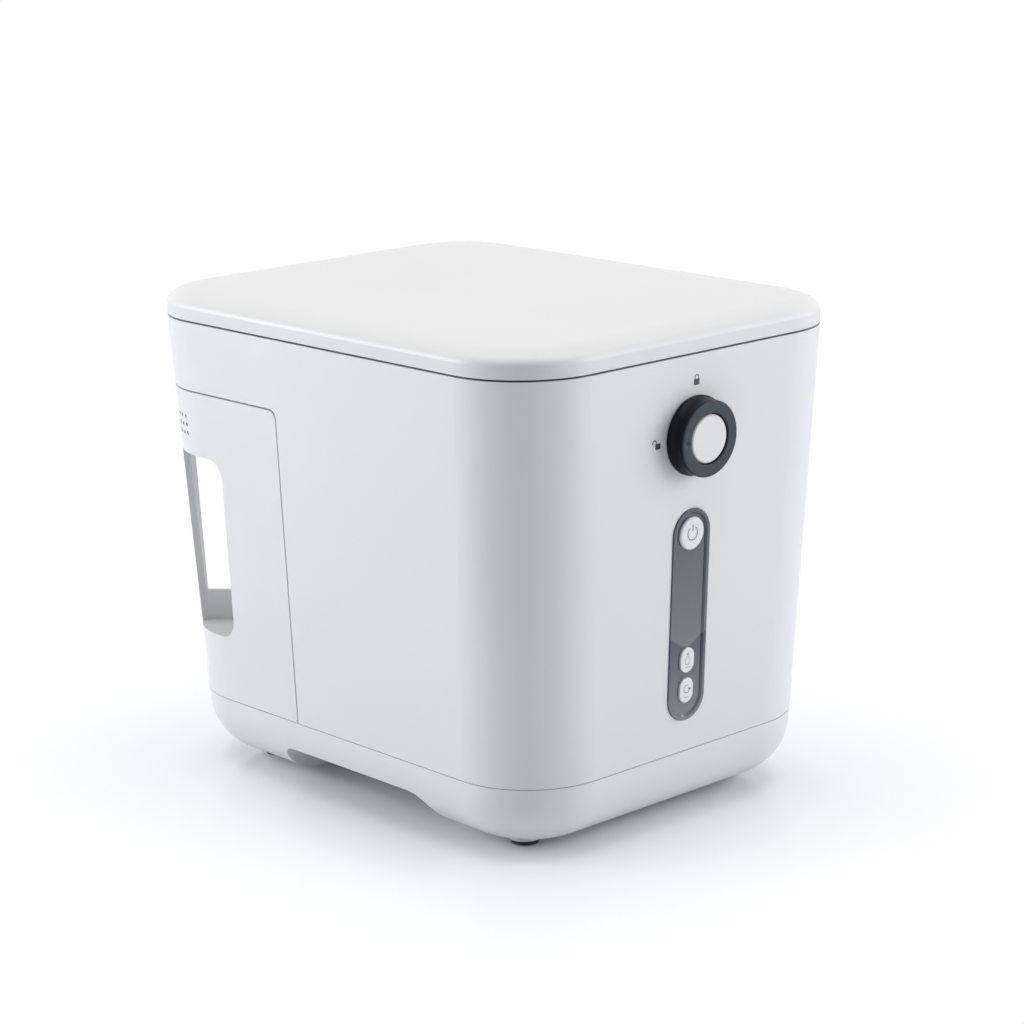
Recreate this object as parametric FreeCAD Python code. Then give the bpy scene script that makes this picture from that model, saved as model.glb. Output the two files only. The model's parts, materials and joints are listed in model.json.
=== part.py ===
"""Countertop kitchen-waste compactor: drafted plastic shell, hinged lid with a knob lock, lift-out
bucket with a geared grinder, exhaust blower with a charcoal filter, and a pull-off rear cover.

Millimetres, +Z up, z = 0 on the worktop, -Y towards the user. Everything is modelled about the
middle of the shell and moved by Y_SHIFT on export, so that the bounding box is centred on the origin.
"""
import FreeCAD
import Part
import math
import os
from FreeCAD import Placement, Rotation, Vector

# ---- outer shape -------------------------------------------------------------------------------
WIDTH = 270.0            # across the shell at the top seam
DEPTH = 340.7            # front to rear at the top seam
TOP_SEAM = 279.9         # height of the gap under the lid
LOW_SEAM = 45.5          # height of the fine gap above the base
HEIGHT = 295.3           # top of the lid
CORNER = 52.0            # plan radius of the shell's corners
DRAFT = 0.048            # inward taper per mm of height
DRAFT_DEG = math.degrees(math.atan(DRAFT))
LID_GAP = 1.2
FINE_GAP = 0.4
SKIN = 2.6               # shell wall
INNER_FIT = 0.8          # inner parts stand this far inside the wall

# ---- base --------------------------------------------------------------------------------------
UNDERSIDE = 6.0
BOWL_ROUNDING = 34.0
BASE_WALL = 2.5
CHANNEL_TOP = 26.5       # ceiling of the finger channel across the underside
CHANNEL_FRONT = -88.0
CHANNEL_REAR = 61.0
FOOT_X = 81.5
FOOT_Y = 112.0
BOSS_R = 9.5
BOSS_BOTTOM = 3.0
FOOT_R = 7.75
SCREW_R = 1.75
FLOOR_Z = 47.5           # underside of the floor frame
FLOOR_TOP = 50.0

# ---- lid ---------------------------------------------------------------------------------------
LID_WALL = 2.4
LID_ROUND_Z = 8.0
LID_ROUND_XY = 18.0
LINER_Z = 281.0
LINER_TOP = 283.0
HINGE_Y = DEPTH / 2 + 2.0
HINGE_Z = 280.0
HINGE_X = 55.0
BARREL_R = 4.5
PIN_R = 2.0
PIN_BORE = 40.0          # the pin bores are cut this far to each side of a hinge
LID_KNUCKLE = 19.0       # length of the lid's knuckle, between the shell's two
SHELL_KNUCKLE = 8.0
RUNNING = 0.06           # radial clearance of a running fit

# ---- deck, bucket and heater -------------------------------------------------------------------
BUCKET_Y = -50.0
DECK_Z = 268.5
DECK_TOP = 271.0
DECK_HOLE_R = 91.2
BUCKET_FOOT = 114.0
BUCKET_FLOOR = 117.0
BUCKET_RIM_Z = 270.0
POT_R = 92.0
POT_WALL = 1.5
POT_FLOOR = 110.0
SHIELD_R = 97.0
SHIELD_WALL = 1.2
SHIELD_FLOOR = 98.0
SHAFT_HOLE_R = 26.0
BAIL_R = 78.0
BAIL_WIRE = 2.5
BAIL_Z = 273.5

# ---- gear train: bucket, countershaft and motor in line along +Y ---------------------------------
OUTPUT_TEETH = 72
SMALL_TEETH = 18
LARGE_TEETH = 84
PINION_TEETH = 12
OUTPUT_MODULE = 1.5
INPUT_MODULE = 1.25
COUNTER_Y = BUCKET_Y + OUTPUT_MODULE * (OUTPUT_TEETH + SMALL_TEETH) / 2
MOTOR_Y = COUNTER_Y + INPUT_MODULE * (LARGE_TEETH + PINION_TEETH) / 2
GEARBOX_TOP = 80.0
GEARBOX_LID = 83.0
SHAFT_R = 6.0
STIRRER_R = 8.0
AXLE_R = 4.0
MOTOR_R = 27.0
MOTOR_TOP = 150.0
MOTOR_SHAFT_R = 3.0

# ---- blower, filter and rear -------------------------------------------------------------------
FAN_Z = 196.0
FAN_R = 36.0
FAN_FRONT = 60.0
FAN_REAR = 98.0
BULKHEAD_X = 58.0
BULKHEAD_FRONT = 41.0
BULKHEAD_Y = 108.0
BULKHEAD_TOP = 233.0
SHEET = 2.0
BOARD_X = -52.4          # the main board's component side
INLET_X = 44.0
INLET_Z = 67.0

# ---- rear cover --------------------------------------------------------------------------------
COVER_FRONT = 38.2
COVER_TOP = 237.6
COVER_GAP = 1.0
COVER_CORNER = 5.5
GRIP_LOW = 85.8
GRIP_HIGH = 197.3
GRIP_FRONT = 94.5
GRIP_POST_Y = 143.0      # the corner post starts here
GRIP_POST = 4.0          # thickness of the corner post
GRIP_ROUND = 12.0
REAR_SLOT = (60.0, 105.0)
REAR_SLOT_LOW = 94.2
GRIP_WEB = 33.4          # x + y on the front of the low web across the left pocket
GRIP_WEB_TOP = 104.6
GRIP_WEB_WALL = 3.0
REAR_SLOT_HIGH = 195.0
POCKET_X = 60.0
POCKET_WALL = 2.4
VENT_TOP = 220.5
VENT_PITCH = 5.25
VENT_R = 1.3
VENT_ROWS = 3
VENT_COLUMNS = 29        # each side of the middle

# ---- front controls ----------------------------------------------------------------------------
KNOB_Z = 233.1
KNOB_RIM_R = 23.0
KNOB_R = 22.0
KNOB_OUT = 12.0
KNOB_CAP_R = 13.9
KNOB_SHAFT_R = 5.0
LATCH_R = 28.0           # the latch pin's distance from the knob's axis
PANEL_Z = 127.6
PANEL_W = 29.3
PANEL_H = 126.0
PANEL_RIM = 2.0
PANEL_PROUD = 0.8
PANEL_DISH = -0.4
PANEL_BACK = -2.9
POWER_Z = 176.1
POWER_R = 9.5
MODE_Z = 100.8
CLEAN_Z = 82.7
PILL_W = 11.0
PILL_H = 15.0
BUTTON_CLEAR = 0.25

BIG = 400.0


# ---- solids ------------------------------------------------------------------------------------
def box(x0, x1, y0, y1, z0, z1):
    return Part.makeBox(x1 - x0, y1 - y0, z1 - z0, Vector(x0, y0, z0))


def rod(radius, z0, z1, x=0.0, y=0.0):
    return Part.makeCylinder(radius, z1 - z0, Vector(x, y, z0))


def ring(outer, inner, z0, z1, x=0.0, y=0.0):
    return rod(outer, z0, z1, x, y).cut(rod(inner, z0 - 1, z1 + 1, x, y))


def rod_x(radius, x0, x1, y, z):
    return Part.makeCylinder(radius, x1 - x0, Vector(x0, y, z), Vector(1, 0, 0))


def rod_y(radius, y0, y1, x, z):
    return Part.makeCylinder(radius, y1 - y0, Vector(x, y0, z), Vector(0, 1, 0))


def join(*shapes):
    return shapes[0].multiFuse(list(shapes[1:]))


def mirrored(shape):
    return shape.mirror(Vector(0, 0, 0), Vector(1, 0, 0))


def group(shapes):
    return Part.makeCompound(list(shapes))


def turned(points, x=0.0, y=0.0):
    """Solid of revolution about a vertical axis from (radius, height) points."""
    corners = [Vector(r, 0, z) for r, z in points]
    face = Part.Face(Part.makePolygon(corners + corners[:1]))
    solid = face.revolve(Vector(0, 0, 0), Vector(0, 0, 1), 360)
    solid.translate(Vector(x, y, 0))
    return solid


def prism(points, z0, z1):
    corners = [Vector(x, y, z0) for x, y in points]
    face = Part.Face(Part.makePolygon(corners + corners[:1]))
    return face.extrude(Vector(0, 0, z1 - z0))


def rounded_edges(half_x, half_y, radius, z):
    """Arcs and lines in turn, centred on the axis, counter-clockwise from the rear right corner."""
    centres = [(1, 1, 0), (-1, 1, 90), (-1, -1, 180), (1, -1, 270)]
    arcs = []
    for side_x, side_y, start in centres:
        cx = side_x * (half_x - radius)
        cy = side_y * (half_y - radius)
        angles = [math.radians(start + step) for step in (0, 45, 90)]
        arcs.append([Vector(cx + radius * math.cos(a), cy + radius * math.sin(a), z) for a in angles])
    edges = []
    for index, arc in enumerate(arcs):
        following = arcs[(index + 1) % 4]
        edges.append(Part.Arc(*arc).toShape())
        edges.append(Part.LineSegment(arc[2], following[0]).toShape())
    return edges


def rounded_rectangle(half_x, half_y, radius, z):
    return Part.Wire(rounded_edges(half_x, half_y, radius, z))


def rounded_block(half_x, half_y, radius, z0, z1):
    return Part.Face(rounded_rectangle(half_x, half_y, radius, z0)).extrude(Vector(0, 0, z1 - z0))


def half_width(z):
    return WIDTH / 2 - DRAFT * (TOP_SEAM - z)


def half_depth(z):
    return DEPTH / 2 - DRAFT * (TOP_SEAM - z)


def outline(z, inset):
    """Plan of the shell at one height, moved in from its outer skin."""
    return rounded_edges(half_width(z) - inset, half_depth(z) - inset, CORNER - inset, z)


def tapered(z0, z1, inset):
    """Drafted solid: flat walls, and corners that are one arc swept along the slant."""
    low = outline(z0, inset)
    high = outline(z1, inset)
    faces = [Part.Face(Part.Wire(low)), Part.Face(Part.Wire(high))]
    for below, above in zip(low, high):
        start, end = below.Vertexes[0].Point, below.Vertexes[-1].Point
        high_start, high_end = above.Vertexes[0].Point, above.Vertexes[-1].Point
        if below.Curve.TypeId == "Part::GeomCircle":
            faces.append(below.extrude(high_start - start))
        else:
            faces.append(Part.Face(Part.makePolygon([start, end, high_end, high_start, start])))
    shell = Part.makeShell(faces)
    shell.sewShape()
    solid = Part.Solid(shell)
    return solid if solid.Volume > 0 else solid.reversed()


def band(z0, z1, outer, inner):
    """Hollow slice of the shell between two insets."""
    return tapered(z0, z1, outer).cut(tapered(z0 - 1, z1 + 1, inner))


def rounded_slot(x_span, low, high, radius, y0, y1):
    """Rounded rectangle in XZ, run along Y."""
    middle_x = (x_span[0] + x_span[1]) / 2
    middle_z = (low + high) / 2
    block = rounded_block((x_span[1] - x_span[0]) / 2, (high - low) / 2, radius, 0, y1 - y0)
    block.Placement = Placement(Vector(middle_x, y1, middle_z), Rotation(Vector(1, 0, 0), 90))
    return block


def side_slot(y_span, low, high, radius, x0, x1):
    """Rounded rectangle in YZ, run along X."""
    middle_y = (y_span[0] + y_span[1]) / 2
    middle_z = (low + high) / 2
    block = rounded_block((high - low) / 2, (y_span[1] - y_span[0]) / 2, radius, 0, x1 - x0)
    block.Placement = Placement(Vector(x0, middle_y, middle_z), Rotation(Vector(0, 1, 0), 90))
    return block


def front_y(z):
    return -half_depth(z)


def on_front(shape, z):
    """Put a shape drawn in (across, up, outward) on the drafted front face at height z."""
    placed = shape.copy()
    seat = Placement(Vector(0, front_y(z), z), Rotation(Vector(1, 0, 0), 90 + DRAFT_DEG))
    placed.Placement = seat.multiply(placed.Placement)
    return placed


def pill(width, height, out0, out1, up=0.0):
    """Obround pin standing on its local XY plane."""
    radius = width / 2
    reach = height / 2 - radius
    ends = join(rod(radius, out0, out1, 0, up - reach), rod(radius, out0, out1, 0, up + reach))
    return join(ends, box(-radius, radius, up - reach, up + reach, out0, out1)).removeSplitter()


# ---- base --------------------------------------------------------------------------------------
def bowl(inset):
    heights = (UNDERSIDE + inset, LOW_SEAM - FINE_GAP / 2)
    body = Part.makeLoft([Part.Wire(outline(z, inset)) for z in heights], True, True)
    rim = [edge for edge in body.Edges if edge.BoundBox.ZMax < UNDERSIDE + inset + 0.1]
    return body.makeFillet(BOWL_ROUNDING - inset, rim)


def channel(grow):
    """Arch across the underside: long S-shaped run-out at the front, short round end at the rear."""
    top = CHANNEL_TOP + grow
    front = CHANNEL_FRONT - grow
    rear = CHANNEL_REAR + grow
    low = UNDERSIDE - 1
    slope = Part.BezierCurve()
    slope.setPoles([Vector(-BIG / 2, y, z) for y, z in
                    ((front, low), (front + 21, low + 1), (front + 12, top - 1), (front + 33, top))])
    end = Part.BezierCurve()
    end.setPoles([Vector(-BIG / 2, y, z) for y, z in
                  ((rear - 13, top), (rear - 4, top), (rear, top - 8), (rear, low))])
    ceiling = Part.LineSegment(slope.EndPoint, end.StartPoint)
    sill = Part.LineSegment(end.EndPoint, slope.StartPoint)
    wire = Part.Wire([curve.toShape() for curve in (slope, ceiling, end, sill)])
    return Part.Face(wire).extrude(Vector(BIG, 0, 0))


def foot_points():
    return [(x, y) for x in (-FOOT_X, FOOT_X) for y in (-FOOT_Y, FOOT_Y)]


def base_pan():
    cavity = bowl(BASE_WALL).cut(channel(BASE_WALL))
    lip_root = band(LOW_SEAM - 5, LOW_SEAM - FINE_GAP / 2, BASE_WALL - 0.5, BASE_WALL + 2)
    lip = band(LOW_SEAM - 5, FLOOR_Z - 0.3, SKIN + 0.3, BASE_WALL + 2)
    pan = join(bowl(0).cut(channel(0)).cut(cavity), lip_root, lip)
    for x, y in foot_points():
        boss = rod(BOSS_R, BOSS_BOTTOM, UNDERSIDE + 1, x, y)
        pan = join(pan, boss, rod(6.5, UNDERSIDE, LOW_SEAM - 0.2, x, y))
        pan = pan.cut(rod(FOOT_R + 0.15, BOSS_BOTTOM - 1, 5, x, y))
        pan = pan.cut(rod(4.0, 4, 9, x, y)).cut(rod(SCREW_R + 0.1, 8, LOW_SEAM + 1, x, y))
    return pan


def rubber_feet():
    return group(rod(FOOT_R, 0, 4.8, x, y) for x, y in foot_points())


def base_screws():
    return group(join(rod(3.6, 6.6, 9, x, y), rod(SCREW_R, 9, 62, x, y)) for x, y in foot_points())


def floor_frame():
    """Plate across the body that carries the gearbox, the bulkhead and the inlet."""
    frame = tapered(FLOOR_Z, FLOOR_TOP, SKIN + INNER_FIT)
    for x, y in foot_points():
        frame = join(frame, rod(5.0, LOW_SEAM, 66, x, y)).cut(rod(SCREW_R + 0.05, LOW_SEAM - 1, 67, x, y))
    return frame


# ---- shell -------------------------------------------------------------------------------------
def hinge_sides():
    return (-HINGE_X, HINGE_X)


def shell_knuckles(x):
    """The shell's two knuckles of one hinge, with the web that carries them."""
    pieces = []
    for side in (-1, 1):
        middle = x + side * (LID_KNUCKLE / 2 + 0.5 + SHELL_KNUCKLE / 2)
        x0 = middle - SHELL_KNUCKLE / 2
        x1 = middle + SHELL_KNUCKLE / 2
        barrel = rod_x(BARREL_R, x0, x1, HINGE_Y, HINGE_Z)
        web = box(x0, x1, DEPTH / 2 - SKIN, HINGE_Y + BARREL_R, HINGE_Z - 6, HINGE_Z)
        pieces.append(join(barrel, web))
    return group(pieces)


def deck_posts():
    return [(x, y) for x in (-124.0, 124.0) for y in (-70.0, 70.0)]


def rear_cut(gap):
    """Everything behind and under the rear cover's edge."""
    front = COVER_FRONT + gap
    top = COVER_TOP - gap
    return side_slot((front, BIG), -BIG, top, COVER_CORNER, -BIG / 2, BIG / 2)


def cover_rebate():
    """Step inside the shell's rear edge that the cover closes onto, so that the gap has a floor."""
    root = band(FLOOR_TOP + 0.5, COVER_TOP + 3, SKIN - 0.5, SKIN + 6)
    step = band(FLOOR_TOP + 0.5, COVER_TOP + 3, SKIN + 0.4, SKIN + 6)
    upright = root.common(box(-BIG, BIG, COVER_FRONT - 3, COVER_FRONT, 0, BIG))
    upright_step = step.common(box(-BIG, BIG, COVER_FRONT - 3, BULKHEAD_FRONT - 0.3, 0, BIG))
    ledge = root.common(box(-BIG, BIG, COVER_FRONT - 3, BIG, COVER_TOP, BIG))
    ledge_step = step.common(box(-BIG, BIG, COVER_FRONT - 3, BIG, BULKHEAD_TOP + 0.3, BIG))
    return upright, upright_step, ledge, ledge_step


def body_shell():
    low = LOW_SEAM + FINE_GAP / 2
    top = TOP_SEAM - LID_GAP / 2
    shell = band(low, top, 0, SKIN)
    ledge = band(DECK_Z - 3, DECK_Z, SKIN - 0.5, SKIN + 4)
    shell = join(shell, ledge).cut(rear_cut(0))
    shell = join(shell, *cover_rebate())
    inside = tapered(DECK_Z - 13, DECK_Z, 1)
    posts = [rod(8.5, DECK_Z - 13, DECK_Z, x, y).common(inside) for x, y in deck_posts()]
    shell = join(shell, *posts)
    for x, y in deck_posts():
        shell = shell.cut(rod(1.5 + 0.05, DECK_Z - 11, DECK_Z + 1, x, y))
    for x in hinge_sides():
        shell = join(shell, *shell_knuckles(x).Solids)
        half = LID_KNUCKLE / 2 + 0.4
        shell = shell.cut(box(x - half, x + half, DEPTH / 2 - 8, HINGE_Y + 10, HINGE_Z - 5.2, HINGE_Z + 8))
        shell = shell.cut(rod_x(PIN_R, x - PIN_BORE, x + PIN_BORE, HINGE_Y, HINGE_Z))
    shell = shell.cut(on_front(rod(8.0, -SKIN - 2, 1), KNOB_Z))
    shell = shell.cut(on_front(pill(PANEL_W + 0.4, PANEL_H + 0.4, -SKIN - 2, 1), PANEL_Z))
    return shell


def deck():
    plate = tapered(DECK_Z, DECK_TOP, SKIN + 0.5)
    rim = band(DECK_TOP, TOP_SEAM - 0.9, SKIN + 0.5, SKIN + 2.5)
    plate = join(plate, rim).cut(rod(DECK_HOLE_R, 0, BIG, 0, BUCKET_Y))
    plate = plate.cut(box(-11, 11, -159.5, -151.5, 0, BIG))
    plate = plate.cut(box(-17, 17, 51, 58, 0, BIG))
    for x, y in deck_posts():
        plate = plate.cut(rod(1.6, 0, BIG, x, y)).cut(rod(3.2, DECK_TOP - 1.5, BIG, x, y))
    for x in hinge_sides():
        half = LID_KNUCKLE / 2 + 0.4
        plate = plate.cut(box(x - half, x + half, DEPTH / 2 - 4.4, BIG, HINGE_Z - 5.2, BIG))
    return plate


def deck_screws():
    shoulder = DECK_TOP - 1.5
    return group(join(rod(3.0, shoulder, DECK_TOP - 0.1, x, y), rod(1.5, DECK_Z - 10, shoulder, x, y))
                 for x, y in deck_posts())


def hinge_pins():
    reach = LID_KNUCKLE / 2 + 0.5 + SHELL_KNUCKLE
    return group(rod_x(PIN_R, x - reach, x + reach, HINGE_Y, HINGE_Z) for x in hinge_sides())


# ---- lid ---------------------------------------------------------------------------------------
def lid_block(inset):
    """Flat-topped slab with a low elliptical edge rounding."""
    bottom = TOP_SEAM + LID_GAP / 2
    shoulder = HEIGHT - LID_ROUND_Z
    top_half_x = WIDTH / 2 - inset
    top_half_y = DEPTH / 2 - inset
    skirt = Part.makeLoft([rounded_rectangle(top_half_x, top_half_y, CORNER - inset, z)
                           for z in (bottom - inset, shoulder)], True, True)
    sections = []
    for step in range(7):
        angle = math.radians(15 * step)
        run_in = (LID_ROUND_XY - inset) * (1 - math.cos(angle))
        z = shoulder + (LID_ROUND_Z - inset) * math.sin(angle)
        corner = CORNER - inset - run_in
        sections.append(rounded_rectangle(top_half_x - run_in, top_half_y - run_in, corner, z))
    return join(skirt, Part.makeLoft(sections, True, False))


def lid_cover():
    lid = lid_block(0).cut(lid_block(LID_WALL))
    for x in hinge_sides():
        half = LID_KNUCKLE / 2
        reach = half + 1.0 + SHELL_KNUCKLE
        lid = lid.cut(box(x - reach, x + reach, DEPTH / 2 - 8, BIG, 0, HINGE_Z + BARREL_R + 0.6))
        barrel = rod_x(BARREL_R, x - half, x + half, HINGE_Y, HINGE_Z)
        web = box(x - half, x + half, DEPTH / 2 - LID_WALL, HINGE_Y + BARREL_R, HINGE_Z, HINGE_Z + 5.3)
        lid = join(lid, barrel, web).cut(rod_x(PIN_R + RUNNING, x - PIN_BORE, x + PIN_BORE, HINGE_Y, HINGE_Z))
    for x, y in lid_posts():
        post = rod(4.0, LINER_TOP, HEIGHT - LID_WALL + 0.5, x, y)
        lid = join(lid, post).cut(rod(1.5, LINER_TOP - 1, LINER_TOP + 6, x, y))
    return lid


def lid_posts():
    return [(x, y) for x in (-95.0, 95.0) for y in (-120.0, 120.0)]


def lid_liner():
    half_x = WIDTH / 2 - 5.5
    half_y = DEPTH / 2 - 5.5
    plate = rounded_block(half_x, half_y, CORNER - 5.5, LINER_Z, LINER_TOP)
    dome = ring(60, 58, LINER_TOP, LINER_TOP + 5, 0, BUCKET_Y)
    plate = join(plate, dome)
    for x, y in lid_posts():
        plate = plate.cut(rod(1.6, 0, BIG, x, y)).cut(rod(3.2, 0, LINER_Z + 1, x, y))
    for x in hinge_sides():
        reach = LID_KNUCKLE / 2 + 1.0 + SHELL_KNUCKLE
        plate = plate.cut(box(x - reach, x + reach, DEPTH / 2 - 8, BIG, 0, BIG))
    return plate


def lid_screws():
    return group(join(rod(3.0, LINER_Z + 0.1, LINER_Z + 1, x, y), rod(1.5, LINER_Z + 1, LINER_Z + 7, x, y))
                 for x, y in lid_posts())


def lid_gasket():
    """Soft loop that meets the deck all round the well."""
    outer = rounded_block(WIDTH / 2 - 6.4, DEPTH / 2 - 6.4, CORNER - 6.4, DECK_TOP + 0.3, LINER_Z)
    inner = rounded_block(WIDTH / 2 - 9.2, DEPTH / 2 - 9.2, CORNER - 9.2, 0, BIG)
    loop = outer.cut(inner)
    for x in hinge_sides():
        half = LID_KNUCKLE / 2 + 9
        loop = loop.cut(box(x - half, x + half, DEPTH / 2 - 8, BIG, 0, BIG))
    return loop


def lid_keeper():
    """Hanging plate with the curved slot that the latch pin turns into."""
    plate = box(-9, 9, 21.5, 47.7, -15.2, -12.8)
    slot = ring(LATCH_R + 2.4, LATCH_R - 2.4, -16, -12)
    wedge = prism([(3, 0), (3, 60), (-60, 60), (-60, 0)], -16, -12)
    plate = plate.cut(slot.common(wedge))
    hook = on_front(plate, KNOB_Z)
    flange = box(-14, 14, -161, -149, LINER_Z - 1.6, LINER_Z)
    trimmed = hook.common(box(-BIG, BIG, -BIG, BIG, 0, LINER_Z - 0.5))
    return join(trimmed, flange)


# ---- knob lock ---------------------------------------------------------------------------------
def knob_ring():
    waist = [(KNOB_RIM_R - 1.1 * math.sin(math.pi * t / 6) - t / 6, 2.2 + 8.0 * t / 6) for t in range(7)]
    front = [(KNOB_R - 0.1, 11.4), (KNOB_R - 0.7, KNOB_OUT), (KNOB_CAP_R + 1.5, KNOB_OUT)]
    seat = KNOB_CAP_R + 0.7
    back = [(seat, KNOB_OUT - 0.7), (seat, 7.4), (KNOB_SHAFT_R, 7.4), (KNOB_SHAFT_R, 1.0)]
    body = turned([(KNOB_RIM_R, 0.6)] + waist + front + back + [(KNOB_SHAFT_R + 4, 0.6)])
    dimple = Part.makeSphere(5.0, Vector(-18.4, 0, KNOB_OUT + 4.4))
    return on_front(body.cut(dimple), KNOB_Z)


def knob_cap():
    top = KNOB_OUT - 0.5
    cap = turned([(0, 7.5), (KNOB_CAP_R, 7.5), (KNOB_CAP_R, top - 0.7), (KNOB_CAP_R - 0.7, top), (0, top)])
    return on_front(cap, KNOB_Z)


def knob_shaft():
    return on_front(join(rod(KNOB_SHAFT_R, -12.4, 7.3), rod(2.0, -13.4, -12.4)), KNOB_Z)


def latch_arm():
    """Arm on the back of the knob's shaft; its end pin runs into the keeper's slot."""
    arm = join(ring(8.5, KNOB_SHAFT_R, -12.4, -9.6), box(-LATCH_R, -7, -4, 4, -12.4, -9.6))
    tip = join(rod(4.0, -12.4, -9.6, -LATCH_R, 0), rod(2.0, -16.0, -12.4, -LATCH_R, 0))
    return on_front(join(arm, tip).cut(rod(KNOB_SHAFT_R, -BIG, BIG)), KNOB_Z)


def knob_bush():
    flange = ring(10.5, KNOB_SHAFT_R + RUNNING, -4.0, -2.9)
    return on_front(join(ring(7.95, KNOB_SHAFT_R + RUNNING, -4.0, 0.2), flange), KNOB_Z)


def detent_spring():
    """Leaf that presses on the latch hub and holds the knob at either end."""
    leaf = join(box(-2.5, 2.5, -22, -6, -9.2, -8.8), box(-2.5, 2.5, -22, -18, -9.2, -3.4))
    return on_front(leaf, KNOB_Z)


# ---- control panel -----------------------------------------------------------------------------
def button_holes(clear):
    holes = rod(POWER_R + clear, -5, 3, 0, POWER_Z - PANEL_Z)
    for z in (MODE_Z, CLEAN_Z):
        holes = join(holes, pill(PILL_W + 2 * clear, PILL_H + 2 * clear, -5, 3, z - PANEL_Z))
    return holes


def panel_bezel():
    plate = pill(PANEL_W, PANEL_H, PANEL_BACK, PANEL_PROUD)
    dish = pill(PANEL_W - 2 * PANEL_RIM - 2, PANEL_H - 2 * PANEL_RIM - 2, PANEL_DISH, PANEL_PROUD + 1)
    inner = PANEL_W / 2 - PANEL_RIM - 1
    plate = plate.cut(dish)
    lip = [edge for edge in plate.Edges if abs(edge.BoundBox.ZMin - PANEL_PROUD) < 0.01
           and abs(edge.BoundBox.XMax) <= inner + 0.1]
    plate = plate.makeChamfer(1.0, lip)
    flange = pill(PANEL_W + 5, PANEL_H + 5, -4.5, PANEL_BACK).cut(pill(PANEL_W - 3, PANEL_H - 3, -6, 0))
    plate = join(plate, flange).cut(button_holes(BUTTON_CLEAR))
    return on_front(plate, PANEL_Z)


def power_button():
    top = [(POWER_R, 0.6), (POWER_R - 0.7, 1.2), (POWER_R - 2, 1.3), (0, 1.1)]
    cap = turned([(0, -2.8), (POWER_R, -2.8)] + top)
    body = join(cap, rod(POWER_R + 1.2, -3.7, -3.1), rod(2.5, -3.9, -2.8), rod(4.0, -3.2, -2.7))
    return on_front(body, POWER_Z)


def pill_button(z):
    cap = pill(PILL_W, PILL_H, -2.8, 0.9)
    top = [edge for edge in cap.Edges if abs(edge.BoundBox.ZMin - 0.9) < 0.01]
    cap = cap.makeFillet(0.6, top)
    body = join(cap, pill(PILL_W + 1.6, PILL_H + 1.6, -3.7, -3.1), pill(4, 6, -3.9, -2.7))
    return on_front(body, z)


def control_board():
    return on_front(box(-16, 16, -60, 60, -9.0, -7.4), PANEL_Z)


def tact_switches():
    blocks = [box(-3, 3, z - PANEL_Z - 3, z - PANEL_Z + 3, -7.4, -5.2) for z in (POWER_Z, MODE_Z, CLEAN_Z)]
    return on_front(group(blocks), PANEL_Z)


# ---- bucket and heater -------------------------------------------------------------------------
def bucket():
    wall = turned([(10.2, BUCKET_FOOT), (82, BUCKET_FOOT), (85.5, 118), (87.5, 266.5), (90.4, 266.5),
                   (90.4, BUCKET_RIM_Z), (85, BUCKET_RIM_Z), (82.8, 120), (79.5, BUCKET_FLOOR),
                   (10.2, BUCKET_FLOOR)], 0, BUCKET_Y)
    lug = box(81, 87, BUCKET_Y - 5, BUCKET_Y + 5, 268, BAIL_Z + 4)
    lugs = join(lug, mirrored(lug)).cut(rod_x(2.05, -BIG / 2, BIG / 2, BUCKET_Y, BAIL_Z))
    return join(wall, lugs).cut(rod(81.2, BUCKET_FLOOR + 4, BIG, 0, BUCKET_Y))


def bail_arc(wire, start, sweep):
    """Part of a lying ring of round section, about the bucket's axis."""
    section = Part.Face(Part.Wire(Part.makeCircle(wire, Vector(BAIL_R, 0, BAIL_Z), Vector(0, 1, 0))))
    arc = section.revolve(Vector(0, 0, BAIL_Z), Vector(0, 0, 1), sweep)
    arc.rotate(Vector(0, 0, 0), Vector(0, 0, 1), start)
    arc.translate(Vector(0, BUCKET_Y, 0))
    return arc


def bail_handle():
    stub = rod_x(2.0, BAIL_R, 86.5, BUCKET_Y, BAIL_Z)
    return join(bail_arc(BAIL_WIRE, 180, 180), stub, mirrored(stub))


def bail_grip():
    return bail_arc(4.2, 240, 60).cut(bail_arc(BAIL_WIRE, 235, 70))


def bucket_bush():
    return ring(10.2, STIRRER_R + RUNNING, 112.8, 118.6, 0, BUCKET_Y)


def fixed_blades():
    """Two breaker bars reaching in from the bucket's wall, between the stirrer's arms."""
    bar = box(30, 81.6, -3, 3, 131, 136)
    bars = [bar.copy() for _ in range(2)]
    for turn, blade in zip((35, 215), bars):
        blade.rotate(Vector(0, 0, 0), Vector(0, 0, 1), turn)
        blade.translate(Vector(0, BUCKET_Y, 0))
    return group(bars)


def heater_pot():
    outer = POT_R + POT_WALL
    pot = turned([(SHAFT_HOLE_R, POT_FLOOR), (outer, POT_FLOOR), (outer, DECK_Z - 2), (98.4, DECK_Z - 2),
                  (98.4, DECK_Z), (POT_R, DECK_Z), (POT_R, POT_FLOOR + 2), (SHAFT_HOLE_R, POT_FLOOR + 2)],
                 0, BUCKET_Y)
    nubs = []
    for turn in (90, 210, 330):
        angle = math.radians(turn)
        nubs.append(rod(3, POT_FLOOR + 2, BUCKET_FOOT, 70 * math.cos(angle), BUCKET_Y + 70 * math.sin(angle)))
    return join(pot, *nubs)


def heater_ring():
    return ring(75, 45, POT_FLOOR - 6, POT_FLOOR, 0, BUCKET_Y)


def heat_shield():
    outer = SHIELD_R + SHIELD_WALL
    top = DECK_Z - 4
    return turned([(SHAFT_HOLE_R, SHIELD_FLOOR), (outer, SHIELD_FLOOR), (outer, top), (SHIELD_R, top),
                   (SHIELD_R, SHIELD_FLOOR + SHIELD_WALL), (SHAFT_HOLE_R, SHIELD_FLOOR + SHIELD_WALL)],
                  0, BUCKET_Y)


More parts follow.
